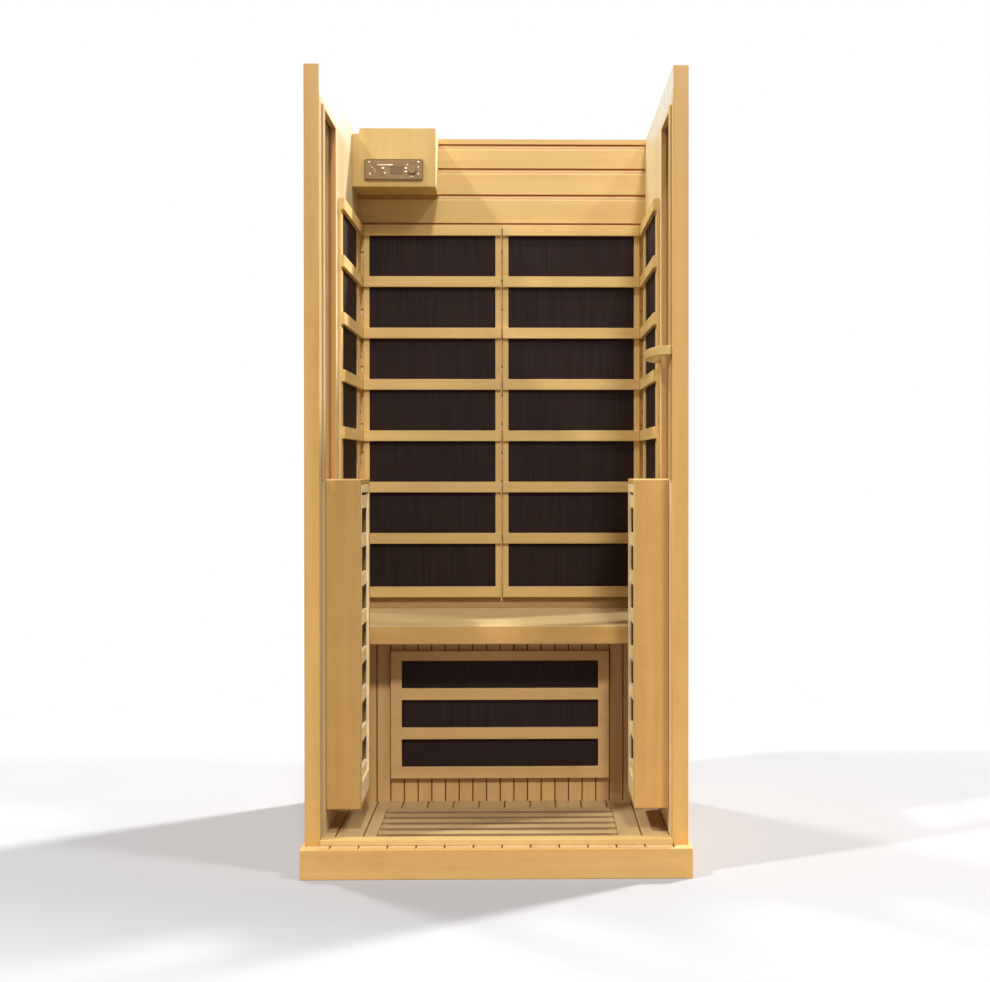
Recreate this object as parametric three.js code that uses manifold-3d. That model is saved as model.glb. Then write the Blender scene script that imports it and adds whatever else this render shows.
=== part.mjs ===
// One-person infrared sauna cabin, open at the front and the top, with its roof and front wall off.
// Millimetres, +Z up. The open front faces -Y, and the origin lies on the ground under the base's middle.
import * as THREE from 'three';
import { mergeVertices } from 'three/addons/utils/BufferGeometryUtils.js';
import Module from 'manifold-3d';

const wasm = await Module();
wasm.setup();

// Overall sizes
const BASE_WIDTH = 900;
const BASE_DEPTH = 900;
const CABIN_HEIGHT = 1870;
const FLOOR_LEVEL = 69;

// Clearance left between pieces that are fixed together, and round pieces that move
const FIT = 0.3;
const RUNNING = 0.4;

// Base: fascia boards round a frame of bearers, with the floor boards between the fascias
const FASCIA_THICKNESS = 13;
const FLOOR_BOARD_WIDTH = 66;
const FLOOR_BOARD_SHIFT = 12;
const BEARER_WIDTH = 46;
const BEARERS_EACH_SIDE = 3;

// Walls: sandwich panels with boards on both faces, and a solid post at each front edge
const WALL_THICKNESS = 35.5;
const WALL_SIDE_INSET = 6.5;
const WALL_FRONT_INSET = 37.5;
const WALL_REAR_INSET = 5;
const BOARDING_THICKNESS = 8;
const WALL_BOARD_WIDTH = 85;
const GROOVE_WIDTH = 5;
const GROOVE_DEPTH = 3;
const POST_DEPTH = 48;
const POST_CHAMFER = 1.5;

// Back wall: horizontal lining boards, bevelled along their upper edges
const LINING_TOP_STRIP = 16;
const LINING_BOARD_HEIGHTS = [68, 74, 81];
const LINING_GROOVE = 4;
const LINING_BEVEL = 15;
const LINING_BEVEL_DEPTH = 4;

// Side windows behind the posts
const WINDOW_WIDTH = 240;
const WINDOW_HEAD_DROP = 80;
const GLASS_THICKNESS = 6;
const GLASS_RECESS = 12;
const GLASS_BITE = 7;
const STOP_WIDTH = 30;
const STOP_THICKNESS = 4;

// Sill rail on the floor between the posts
const SILL_HEIGHT = 13;
const SILL_DEPTH = 33;

// Lift-out floor grille over the floor heater
const GRILLE_WIDTH = 574;
const GRILLE_FRONT = 90;
const SLAT_COUNT = 5;
const SLAT_WIDTH = 31;
const SLAT_GAP = 29.5;
const SLAT_THICKNESS = 12;
const GRILLE_BATTEN = 14;
const GRILLE_PLAY = 1;
const FLOOR_PANEL_THICKNESS = 4;
const FLOOR_PANEL_AIR = 2;

// Heater panels and the ladder frames over them on the back and side walls
const PANEL_THICKNESS = 5;
const HEATER_DROP = 245;
const HEATER_ABOVE_BENCH = 32;
const STILE_THICKNESS = 8;
const BAR_THICKNESS = 8.5;
const BAR_HEIGHT = 30;
const BAR_PITCH = 145;
const BACK_STILE_WIDTH = 16;
const BACK_FRAME_SPLIT = 5;
const CORNER_GAP = 1;
const SIDE_STILE_WIDTH = 38;
const SIDE_REAR_STILE_WIDTH = 82;
const SIDE_HEATER_SETBACK = 34;

// Heater boxes on the side walls, either side of the entrance
const BOX_FRONT = 108;
const BOX_DEPTH = 218;
const BOX_WIDTH = 83;
const BOX_HEIGHT = 784;
const BOX_LIFT = 60;
const BOX_BOARD = 15;
const BOX_LID = 12;
const BOX_FRAME_THICKNESS = 7;
const BOX_STILE = 14;
const BOX_TOP_RAIL = 20;
const BOX_BOTTOM_RAIL = 46;
const BOX_SLAT_HEIGHT = 32;
const BOX_SLAT_PITCH = 94.5;
const BOX_SLAT_DROP = 7;

// Bench and the calf heater on its skirt
const BENCH_HEIGHT = 472.5;
const BENCH_SETBACK = 9;
const BENCH_BOARD = 25;
const BENCH_LIP = 47;
const SKIRT_SETBACK = 134;
const SKIRT_THICKNESS = 12;
const SKIRT_BOARD_WIDTH = 35.7;
const CLEAT_WIDTH = 20;
const CLEAT_HEIGHT = 40;
const CALF_WIDTH = 568;
const CALF_LIFT = 63;
const CALF_DROP = 31;
const CALF_STILE = 28.5;
const CALF_TOP_RAIL = 25;
const CALF_BAR = 30;
const CALF_ROWS = 3;
const CALF_FRAME_THICKNESS = 10;
const CALF_REBATE = 14;

// Control box in the upper corner, with the radio in its front
const CONTROL_WIDTH = 228;
const CONTROL_DEPTH = 140;
const CONTROL_HEIGHT = 160;
const CONTROL_FRONT_BOARD = 15;
const CONTROL_BOARD = 12;
const NOTCH_WIDTH = 20;
const NOTCH_HEIGHT = 15;
const FACE_WIDTH = 160.5;
const FACE_HEIGHT = 56;
const FACE_THICKNESS = 6;
const FACE_CORNER = 5;
const FACE_RISE = 46;
const CHASSIS_MARGIN = 5;
const CHASSIS_AIR = 10;
const DISPLAY_WIDTH = 36;
const DISPLAY_HEIGHT = 22;
const DISPLAY_DEPTH = 2;
const KNOB_RADIUS = 10;
const KNOB_LENGTH = 9;
const KNOB_RING = 2.5;
const SHAFT_RADIUS = 3;
const SHAFT_SOCKET = 6;
const BUTTON_WIDTH = 8;
const BUTTON_HEIGHT = 5;
const BUTTON_PROUD = 1.8;
const BUTTON_TRAVEL = 1.2;
const BUTTON_FLANGE = 1.2;
const SCREW_RADIUS = 2.2;
const SCREW_HEAD = 1;
const SLOT_WIDTH = 44;
const SLOT_HEIGHT = 2.4;
const SLOT_DEPTH = 3;

// Where things sit on the radio's face, from its middle: across and up
const DISPLAY_AT = [8, -2.4];
const KNOB_AT = [50.5, -2.2];
const SLOT_AT = [-23, 12];
const BUTTONS_AT = { power: [-29, 2.4], up: [33.5, 3.4], down: [33.5, -6.2] };
const SCREWS_AT = [[-67, 20], [67, 20], [-67, -11], [67, -11]];

// Power module on the back wall inside the control box, and the cable inlet behind it
const MODULE_WIDTH = 120;
const MODULE_HEIGHT = 58;
const MODULE_DEPTH = 44;
const MODULE_DROP = 12;
const INLET_RADIUS = 20;
const INLET_PROUD = 4;
const INLET_NECK = 11;
const CABLE_RADIUS = 5;

// Bow handle on the right-hand wall
const BOW_CHORD = 318;
const BOW_RISE = 49;
const BOW_BAR = 22;
const BOW_HEIGHT = 21;
const BOW_FRONT = 31;
const BOW_ABOVE_FLOOR = 1147;

// Places that follow from the sizes above
const OUTER_X = BASE_WIDTH / 2 - WALL_SIDE_INSET;
const INNER_X = OUTER_X - WALL_THICKNESS;
const SEAT_X = INNER_X - FIT;
const WALL_FRONT = -BASE_DEPTH / 2 + WALL_FRONT_INSET;
const WALL_REAR = BASE_DEPTH / 2 - WALL_REAR_INSET;
const BACK_Y = WALL_REAR - WALL_THICKNESS;
const SEAT_Y = BACK_Y - FIT;
const WALL_FOOT = FLOOR_LEVEL + FIT;
const WALL_Z = [WALL_FOOT, CABIN_HEIGHT];
const CORE_X = [INNER_X + BOARDING_THICKNESS + FIT, OUTER_X - BOARDING_THICKNESS - FIT];
const PANEL_Y = [WALL_FRONT + POST_DEPTH + FIT, WALL_REAR];
const FLOOR_THICKNESS = SLAT_THICKNESS + FLOOR_PANEL_AIR + FLOOR_PANEL_THICKNESS;
const FLOOR_UNDERSIDE = FLOOR_LEVEL - FLOOR_THICKNESS;
const GRILLE_LENGTH = SLAT_COUNT * (SLAT_WIDTH + SLAT_GAP);
const GRILLE_Y = [WALL_FRONT + GRILLE_FRONT, WALL_FRONT + GRILLE_FRONT + GRILLE_LENGTH];
const BOX_REAR = BOX_FRONT + BOX_DEPTH;
const BOX_Z = [FLOOR_LEVEL + BOX_LIFT, FLOOR_LEVEL + BOX_LIFT + BOX_HEIGHT];
const BOX_INNER_X = SEAT_X - BOX_WIDTH;
const WINDOW_FRONT = WALL_FRONT + POST_DEPTH + STOP_WIDTH;
const WINDOW_Y = [WINDOW_FRONT, WINDOW_FRONT + WINDOW_WIDTH];
const WINDOW_Z = [BOX_Z[1], CABIN_HEIGHT - WINDOW_HEAD_DROP];
const GLASS_X = [INNER_X + GLASS_RECESS, INNER_X + GLASS_RECESS + GLASS_THICKNESS];
const BENCH_TOP = FLOOR_LEVEL + BENCH_HEIGHT;
const BENCH_FRONT_Y = WALL_FRONT + BOX_REAR + BENCH_SETBACK;
const BENCH_UNDERSIDE = BENCH_TOP - BENCH_BOARD;
const SKIRT_Y = BENCH_FRONT_Y + SKIRT_SETBACK;
const HEATER_Z = [BENCH_TOP + HEATER_ABOVE_BENCH, CABIN_HEIGHT - HEATER_DROP];
const BACK_FRAME_X = SEAT_X - STILE_THICKNESS - BAR_THICKNESS - CORNER_GAP;
const SIDE_HEATER_Y = [WALL_FRONT + BOX_REAR + SIDE_HEATER_SETBACK, SEAT_Y];
const CONTROL_X = [-SEAT_X, CONTROL_WIDTH - SEAT_X];
const CONTROL_Z = [CABIN_HEIGHT - CONTROL_HEIGHT, CABIN_HEIGHT];
const CONTROL_FRONT = BACK_Y - CONTROL_DEPTH;
const CONTROL_BOARD_BACK = CONTROL_FRONT + CONTROL_FRONT_BOARD;
const FACE_X = (CONTROL_X[0] + CONTROL_X[1]) / 2;
const FACE_Z = CONTROL_Z[0] + FACE_RISE;
const FACE_Y = [CONTROL_FRONT - FIT - FACE_THICKNESS, CONTROL_FRONT - FIT];
const CHASSIS_SIZE = [FACE_WIDTH - 2 * CHASSIS_MARGIN, FACE_HEIGHT - 2 * CHASSIS_MARGIN];
const MODULE_Z = [CABIN_HEIGHT - MODULE_DROP - MODULE_HEIGHT, CABIN_HEIGHT - MODULE_DROP];
const INLET_Z = (MODULE_Z[0] + MODULE_Z[1]) / 2;

// Finishes: a fresh material for every piece
const finish = (color, roughness, metalness) => () =>
  new THREE.MeshStandardMaterial({ color, roughness, metalness });
const hemlock = finish(0xd8ab6a, 0.55, 0);
const paleHemlock = finish(0xe2bf85, 0.55, 0);
const carbonPanel = finish(0x2d211e, 0.5, 0);
const tintedGlass = finish(0x9a8468, 0.08, 0);
const bronzeMetal = finish(0x8f7150, 0.35, 0.8);
const steel = finish(0xb9b4aa, 0.3, 1);
const darkPlastic = finish(0x2a2624, 0.45, 0);

const cabin = new THREE.Group();
cabin.name = 'infrared_sauna_cabin';

function add(name, geometry, material) {
  const mesh = new THREE.Mesh(geometry, material());
  mesh.name = name;
  cabin.add(mesh);
}

// A box from three [low, high] pairs
function block(x, y, z) {
  const geometry = new THREE.BoxGeometry(x[1] - x[0], y[1] - y[0], z[1] - z[0]);
  return geometry.translate((x[0] + x[1]) / 2, (y[0] + y[1]) / 2, (z[0] + z[1]) / 2);
}

// The same stretch on the left (-1) or the right (+1) of the cabin, given from its middle outwards
const across = (side, inner, outer) => (side < 0 ? [-outer, -inner] : [inner, outer]);

// A stretch of the given length about a middle
const about = (middle, length) => [middle - length / 2, middle + length / 2];

// A stretch made longer at both ends, or shorter where the amount is below zero
const grow = (stretch, by) => [stretch[0] - by, stretch[1] + by];

const outline = (points) => new THREE.Shape(points.map(([u, v]) => new THREE.Vector2(u, v)));

const rectangle = (u, v) => [[u[0], v[0]], [u[1], v[0]], [u[1], v[1]], [u[0], v[1]]];

// A closed frame or plate: an outline with openings in it
function pierced(points, openings) {
  const shape = outline(points);
  shape.holes = openings.map(outline);
  return shape;
}

const AXIS_X = new THREE.Vector3(1, 0, 0);
const AXIS_Y = new THREE.Vector3(0, 1, 0);
const AXIS_Z = new THREE.Vector3(0, 0, 1);

function extrude(shape, length, curveSegments) {
  return new THREE.ExtrudeGeometry(shape, { depth: length, bevelEnabled: false, curveSegments });
}

// A plan outline (x, y) raised along Z
function raise(shape, z, curveSegments = 12) {
  return extrude(shape, z[1] - z[0], curveSegments).translate(0, 0, z[0]);
}

// A front outline (x, z) carried back along Y
function carryBack(shape, y, curveSegments = 12) {
  const turn = new THREE.Matrix4().makeBasis(AXIS_X, AXIS_Z, AXIS_Y.clone().negate());
  return extrude(shape, y[1] - y[0], curveSegments).applyMatrix4(turn).translate(0, y[1], 0);
}

// A side outline (y, z) run along X
function runAcross(shape, x, curveSegments = 12) {
  const turn = new THREE.Matrix4().makeBasis(AXIS_Y, AXIS_Z, AXIS_X);
  return extrude(shape, x[1] - x[0], curveSegments).applyMatrix4(turn).translate(x[0], 0, 0);
}

// A round bar along Y
function roundBar(radius, x, y, z, segments = 24) {
  const geometry = new THREE.CylinderGeometry(radius, radius, y[1] - y[0], segments);
  return geometry.translate(x, (y[0] + y[1]) / 2, z);
}

function solidOf(geometry) {
  const bare = geometry.clone();
  bare.deleteAttribute('normal');
  bare.deleteAttribute('uv');
  const merged = mergeVertices(bare, 1e-4);
  const vertProperties = new Float32Array(merged.attributes.position.array);
  const triVerts = new Uint32Array(merged.index.array);
  return new wasm.Manifold(new wasm.Mesh({ numProp: 3, vertProperties, triVerts }));
}

function geometryOf(solid) {
  const { vertProperties, triVerts } = solid.getMesh();
  const geometry = new THREE.BufferGeometry();
  geometry.setAttribute('position', new THREE.BufferAttribute(vertProperties, 3));
  geometry.setIndex(new THREE.BufferAttribute(triVerts, 1));
  geometry.computeVertexNormals();
  return geometry;
}

const join = (pieces) => geometryOf(pieces.map(solidOf).reduce((whole, piece) => whole.add(piece)));

const cut = (piece, tools) =>
  geometryOf(tools.map(solidOf).reduce((left, tool) => left.subtract(tool), solidOf(piece)));

// Middles of the grooves between boards of one width, within a stretch and clear of its ends
function grooveLines(stretch, width, start) {
  const first = start + Math.ceil((stretch[0] + GROOVE_WIDTH - start) / width) * width;
  const count = Math.floor((stretch[1] - GROOVE_WIDTH - first) / width) + 1;
  return Array.from({ length: count }, (_, i) => first + i * width);
}

// Outline of a boarded sheet: its face has V grooves, and depth runs away from the face
function boardedOutline(stretch, thickness, lines) {
  const grooves = lines.flatMap((line) => [
    [line - GROOVE_WIDTH / 2, 0],
    [line, GROOVE_DEPTH],
    [line + GROOVE_WIDTH / 2, 0],
  ]);
  return [[stretch[0], 0], ...grooves, [stretch[1], 0], [stretch[1], thickness], [stretch[0], thickness]];
}

// Base

function buildBase() {
  const halfWidth = BASE_WIDTH / 2;
  const halfDepth = BASE_DEPTH / 2;
  const insideX = halfWidth - FASCIA_THICKNESS - FIT;
  const insideY = halfDepth - FASCIA_THICKNESS - FIT;
  const fasciaZ = [0, FLOOR_LEVEL];
  const frontY = [-halfDepth, FASCIA_THICKNESS - halfDepth];
  const rearY = [halfDepth - FASCIA_THICKNESS, halfDepth];
  add('base_front_fascia', block([-halfWidth, halfWidth], frontY, fasciaZ), hemlock);
  add('base_rear_fascia', block([-halfWidth, halfWidth], rearY, fasciaZ), hemlock);
  for (const [name, side] of [['left', -1], ['right', 1]]) {
    const x = across(side, halfWidth - FASCIA_THICKNESS, halfWidth);
    add(`base_${name}_fascia`, block(x, [-insideY, insideY], fasciaZ), hemlock);
  }

  // Bearers on the ground, tied at both ends, with a square of them under the rim of the grille's opening
  const bearerZ = [0, FLOOR_UNDERSIDE - FIT];
  const outerBearer = insideX - BEARER_WIDTH / 2;
  const bearerStep = outerBearer / BEARERS_EACH_SIDE;
  const bearers = [block([-insideX, insideX], [-insideY, BEARER_WIDTH - insideY], bearerZ)];
  bearers.push(block([-insideX, insideX], [insideY - BEARER_WIDTH, insideY], bearerZ));
  for (let i = -BEARERS_EACH_SIDE; i <= BEARERS_EACH_SIDE; i += 1) {
    bearers.push(block(about(i * bearerStep, BEARER_WIDTH), [-insideY, insideY], bearerZ));
  }
  const grilleX = about(0, GRILLE_WIDTH);
  for (const x of grilleX) {
    bearers.push(block(about(x, BEARER_WIDTH), [-insideY, insideY], bearerZ));
  }
  for (const y of GRILLE_Y) {
    bearers.push(block(grilleX, about(y, BEARER_WIDTH), bearerZ));
  }
  add('base_bearer_frame', join(bearers), paleHemlock);

  // Tongued floor boards run front to back and are cut out for the grille
  const lines = grooveLines([-insideX, insideX], FLOOR_BOARD_WIDTH, FLOOR_BOARD_SHIFT);
  const section = boardedOutline([-insideX, insideX], FLOOR_THICKNESS, lines);
  const profile = outline(section.map(([x, depth]) => [x, FLOOR_LEVEL - depth]));
  const boards = carryBack(profile, [-insideY, insideY]);
  const opening = block(grilleX, GRILLE_Y, [0, FLOOR_LEVEL + FLOOR_THICKNESS]);
  add('floor_boards', cut(boards, [opening]), hemlock);
}

function buildFloorHeater() {
  const slatX = about(0, GRILLE_WIDTH - 2 * GRILLE_PLAY);
  const slatZ = [FLOOR_LEVEL - SLAT_THICKNESS, FLOOR_LEVEL];
  const battenZ = [FLOOR_UNDERSIDE, FLOOR_LEVEL - SLAT_THICKNESS / 2];
  const rearSlat = GRILLE_Y[1] - GRILLE_PLAY;
  const pieces = [];
  for (let i = 0; i < SLAT_COUNT; i += 1) {
    const rear = rearSlat - i * (SLAT_WIDTH + SLAT_GAP);
    pieces.push(block(slatX, [rear - SLAT_WIDTH, rear], slatZ));
  }
  for (const x of [[slatX[0], slatX[0] + GRILLE_BATTEN], [slatX[1] - GRILLE_BATTEN, slatX[1]]]) {
    pieces.push(block(x, [GRILLE_Y[0] + GRILLE_PLAY, rearSlat], battenZ));
  }
  add('floor_slat_grille', join(pieces), hemlock);

  const panelX = about(0, GRILLE_WIDTH - 2 * (2 * GRILLE_PLAY + GRILLE_BATTEN));
  const panelY = grow(GRILLE_Y, -GRILLE_PLAY);
  const panelZ = [FLOOR_UNDERSIDE, FLOOR_UNDERSIDE + FLOOR_PANEL_THICKNESS];
  add('floor_heater_panel', block(panelX, panelY, panelZ), carbonPanel);
}

function buildSillRail() {
  const z = [WALL_FOOT, WALL_FOOT + SILL_HEIGHT];
  add('front_sill_rail', block([-SEAT_X, SEAT_X], [WALL_FRONT, WALL_FRONT + SILL_DEPTH], z), hemlock);
}

// Walls

function buildSideWall(name, side) {
  const postX = across(side, INNER_X, OUTER_X);
  const postY = [WALL_FRONT, WALL_FRONT + POST_DEPTH];
  const c = POST_CHAMFER;
  const postOutline = outline([
    [postX[0] + c, postY[0]], [postX[1] - c, postY[0]], [postX[1], postY[0] + c],
    [postX[1], postY[1]], [postX[0], postY[1]], [postX[0], postY[0] + c],
  ]);
  add(`${name}_front_post`, raise(postOutline, WALL_Z), hemlock);

  // Boards on the inner and the outer face, with the window cut through both
  const lines = grooveLines(PANEL_Y, WALL_BOARD_WIDTH, PANEL_Y[0]);
  const section = boardedOutline(PANEL_Y, BOARDING_THICKNESS, lines);
  const through = across(side, INNER_X - WALL_THICKNESS, OUTER_X + WALL_THICKNESS);
  const opening = block(through, WINDOW_Y, WINDOW_Z);
  const lining = raise(outline(section.map(([y, depth]) => [side * (INNER_X + depth), y])), WALL_Z);
  const cladding = raise(outline(section.map(([y, depth]) => [side * (OUTER_X - depth), y])), WALL_Z);
  add(`${name}_inner_lining`, cut(lining, [opening]), paleHemlock);
  add(`${name}_outer_cladding`, cut(cladding, [opening]), hemlock);

  // Core between the two, grooved round the window to hold the glass
  const core = block(across(side, ...CORE_X), PANEL_Y, WALL_Z);
  const glassX = across(side, ...GLASS_X);
  const pocket = block(grow(glassX, FIT), grow(WINDOW_Y, GLASS_BITE), grow(WINDOW_Z, GLASS_BITE));
  add(`${name}_wall_core`, cut(core, [opening, pocket]), paleHemlock);
  const glassBite = GLASS_BITE - FIT;
  const glass = block(glassX, grow(WINDOW_Y, glassBite), grow(WINDOW_Z, glassBite));
  add(`${name}_window_glass`, glass, tintedGlass);

  const stopX = across(side, SEAT_X - STOP_THICKNESS, SEAT_X);
  add(`${name}_window_stop`, block(stopX, [WINDOW_Y[0] - STOP_WIDTH, WINDOW_Y[0]], WINDOW_Z), hemlock);
}

function buildBackWall() {
  const x = [-SEAT_X, SEAT_X];

  // Lining boards from the top down: a strip, three boards as sawn, then the last width repeated
  const joints = [CABIN_HEIGHT - LINING_TOP_STRIP];
  for (const height of LINING_BOARD_HEIGHTS) {
    joints.push(joints.at(-1) - height);
  }
  const lastHeight = LINING_BOARD_HEIGHTS.at(-1);
  while (joints.at(-1) - lastHeight > WALL_FOOT + LINING_BEVEL) {
    joints.push(joints.at(-1) - lastHeight);
  }
  const face = joints.flatMap((z) => [
    [BACK_Y, z + LINING_GROOVE / 2],
    [BACK_Y + LINING_BEVEL_DEPTH, z + LINING_GROOVE / 2],
    [BACK_Y + LINING_BEVEL_DEPTH, z - LINING_GROOVE / 2],
    [BACK_Y, z - LINING_BEVEL],
  ]);
  const liningBack = BACK_Y + BOARDING_THICKNESS;
  const lining = outline([
    [BACK_Y, CABIN_HEIGHT], ...face, [BACK_Y, WALL_FOOT], [liningBack, WALL_FOOT], [liningBack, CABIN_HEIGHT],
  ]);
  const cableWay = roundBar(INLET_NECK + FIT, FACE_X, [BACK_Y - FIT, WALL_REAR + FIT], INLET_Z);
  add('back_inner_lining', cut(runAcross(lining, x), [cableWay]), hemlock);

  const claddingY = WALL_REAR - BOARDING_THICKNESS;
  const core = block(x, [liningBack + FIT, claddingY - FIT], WALL_Z);
  add('back_wall_core', cut(core, [cableWay]), paleHemlock);

  const lines = grooveLines(x, WALL_BOARD_WIDTH, 0);
  const section = boardedOutline(x, BOARDING_THICKNESS, lines);
  const cladding = raise(outline(section.map(([u, depth]) => [u, WALL_REAR - depth])), WALL_Z);
  add('back_outer_cladding', cut(cladding, [cableWay]), hemlock);
}

// Heaters on the walls

// Lower and upper edges of a ladder frame's bars: a regular row from the top, and one along the bottom
function barHeights() {
  const bars = [];
  for (let top = HEATER_Z[1]; top - BAR_HEIGHT > HEATER_Z[0] + BAR_HEIGHT; top -= BAR_PITCH) {
    bars.push([top - BAR_HEIGHT, top]);
  }
  bars.push([HEATER_Z[0], HEATER_Z[0] + BAR_HEIGHT]);
  return bars;
}

function buildBackHeater(name, side) {
  const inner = BACK_FRAME_SPLIT / 2;
  const stileY = [SEAT_Y - STILE_THICKNESS, SEAT_Y];
  const barY = [stileY[0] - BAR_THICKNESS, stileY[0] + STILE_THICKNESS / 4];
  const pieces = [
    block(across(side, inner, inner + BACK_STILE_WIDTH), stileY, HEATER_Z),
    block(across(side, BACK_FRAME_X - BACK_STILE_WIDTH, BACK_FRAME_X), stileY, HEATER_Z),
    ...barHeights().map((z) => block(across(side, inner, BACK_FRAME_X), barY, z)),
  ];
  add(`back_heater_frame_${name}`, join(pieces), hemlock);

  const panelX = across(side, inner + BACK_STILE_WIDTH + FIT, BACK_FRAME_X - BACK_STILE_WIDTH - FIT);
  const panel = block(panelX, [SEAT_Y - PANEL_THICKNESS, SEAT_Y], HEATER_Z);
  add(`back_heater_panel_${name}`, panel, carbonPanel);
}

function buildSideHeater(name, side) {
  const stileX = [SEAT_X - STILE_THICKNESS, SEAT_X];
  const barX = [stileX[0] - BAR_THICKNESS, stileX[0] + STILE_THICKNESS / 4];
  const frontStile = [SIDE_HEATER_Y[0], SIDE_HEATER_Y[0] + SIDE_STILE_WIDTH];
  const rearStile = [SIDE_HEATER_Y[1] - SIDE_REAR_STILE_WIDTH, SIDE_HEATER_Y[1]];
  const pieces = [
    block(across(side, ...stileX), frontStile, HEATER_Z),
    block(across(side, ...stileX), rearStile, HEATER_Z),
    ...barHeights().map((z) => block(across(side, ...barX), SIDE_HEATER_Y, z)),
  ];
  add(`side_heater_frame_${name}`, join(pieces), hemlock);

  const panelX = across(side, SEAT_X - PANEL_THICKNESS, SEAT_X);
  const panel = block(panelX, [frontStile[1] + FIT, rearStile[0] - FIT], HEATER_Z);
  add(`side_heater_panel_${name}`, panel, carbonPanel);
}

// Heater boxes beside the entrance: four boards, a slatted inner side and a panel against the wall
function buildFrontHeater(name, side) {
  const boxY = [WALL_FRONT + BOX_FRONT, WALL_FRONT + BOX_REAR];
  const insideY = [boxY[0] + BOX_BOARD, boxY[1] - BOX_BOARD];
  const insideZ = [BOX_Z[0] + BOX_LID, BOX_Z[1] - BOX_LID];
  const shell = pierced(rectangle(boxY, BOX_Z), [rectangle(insideY, insideZ)]);
  add(`front_heater_box_${name}`, runAcross(shell, across(side, BOX_INNER_X, SEAT_X)), hemlock);

  const frameY = grow(insideY, -FIT);
  const frameZ = grow(insideZ, -FIT);
  const openY = grow(frameY, -BOX_STILE);
  const openZ = [frameZ[0] + BOX_BOTTOM_RAIL, frameZ[1] - BOX_TOP_RAIL];
  const frame = pierced(rectangle(frameY, frameZ), [rectangle(openY, openZ)]);
  const frameBack = BOX_INNER_X + BOX_FRAME_THICKNESS;
  const slatX = [frameBack - BOX_FRAME_THICKNESS / 4, frameBack + BOX_FRAME_THICKNESS];
  const pieces = [runAcross(frame, across(side, BOX_INNER_X, frameBack))];
  for (let top = openZ[1] - BOX_SLAT_DROP; top > openZ[0]; top -= BOX_SLAT_PITCH) {
    const foot = Math.max(top - BOX_SLAT_HEIGHT, frameZ[0]);
    pieces.push(block(across(side, ...slatX), frameY, [foot, top]));
  }
  add(`front_heater_grille_${name}`, join(pieces), hemlock);

  const panelX = across(side, SEAT_X - PANEL_THICKNESS, SEAT_X);
  add(`front_heater_panel_${name}`, block(panelX, frameY, frameZ), carbonPanel);
}

// Bench

function buildBench() {
  const x = [-SEAT_X, SEAT_X];
  const lipBack = BENCH_FRONT_Y + BENCH_BOARD;
  const seat = outline([
    [BENCH_FRONT_Y, BENCH_TOP - BENCH_LIP], [lipBack, BENCH_TOP - BENCH_LIP], [lipBack, BENCH_UNDERSIDE],
    [SEAT_Y, BENCH_UNDERSIDE], [SEAT_Y, BENCH_TOP], [BENCH_FRONT_Y, BENCH_TOP],
  ]);
  add('bench_top', runAcross(seat, x), hemlock);

  // Skirt of narrow upright boards under the seat
  const skirtZ = [WALL_FOOT, BENCH_UNDERSIDE - FIT];
  const section = boardedOutline(x, SKIRT_THICKNESS, grooveLines(x, SKIRT_BOARD_WIDTH, 0));
  add('bench_skirt', raise(outline(section.map(([u, depth]) => [u, SKIRT_Y + depth])), skirtZ), hemlock);

  // Cleats on the walls behind the skirt carry the seat
  const cleatZ = [BENCH_UNDERSIDE - FIT - CLEAT_HEIGHT, BENCH_UNDERSIDE - FIT];
  const cleatY = [SKIRT_Y + SKIRT_THICKNESS + FIT, SEAT_Y];
  for (const [name, side] of [['left', -1], ['right', 1]]) {
    const cleatX = across(side, SEAT_X - CLEAT_WIDTH, SEAT_X);
    add(`bench_cleat_${name}`, block(cleatX, cleatY, cleatZ), paleHemlock);
  }
  const backX = SEAT_X - CLEAT_WIDTH - FIT;
  add('bench_cleat_back', block([-backX, backX], [SEAT_Y - CLEAT_WIDTH, SEAT_Y], cleatZ), paleHemlock);
}

function buildCalfHeater() {
  const outerX = about(0, CALF_WIDTH);
  const outerZ = [FLOOR_LEVEL + CALF_LIFT, BENCH_TOP - BENCH_LIP - CALF_DROP];
  const openX = grow(outerX, -CALF_STILE);
  const openZ = [outerZ[0] + CALF_BAR, outerZ[1] - CALF_TOP_RAIL];
  const rowHeight = (openZ[1] - openZ[0] - (CALF_ROWS - 1) * CALF_BAR) / CALF_ROWS;
  const rows = Array.from({ length: CALF_ROWS }, (_, i) => {
    const foot = openZ[0] + i * (rowHeight + CALF_BAR);
    return rectangle(openX, [foot, foot + rowHeight]);
  });
  const back = SKIRT_Y - FIT;
  const shelf = back - PANEL_THICKNESS - FIT;
  const front = shelf - CALF_FRAME_THICKNESS;
  const panelX = grow(outerX, -CALF_REBATE);
  const panelZ = grow(outerZ, -CALF_REBATE);
  const ladder = carryBack(pierced(rectangle(outerX, outerZ), rows), [front, shelf]);
  const rebate = pierced(rectangle(outerX, outerZ), [rectangle(panelX, panelZ)]);
  const border = carryBack(rebate, [shelf - CALF_FRAME_THICKNESS / 2, back]);
  add('calf_heater_frame', join([ladder, border]), hemlock);

  const panelY = [back - PANEL_THICKNESS, back];
  add('calf_heater_panel', block(grow(panelX, -FIT), panelY, grow(panelZ, -FIT)), carbonPanel);
}

// Control box and radio

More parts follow.
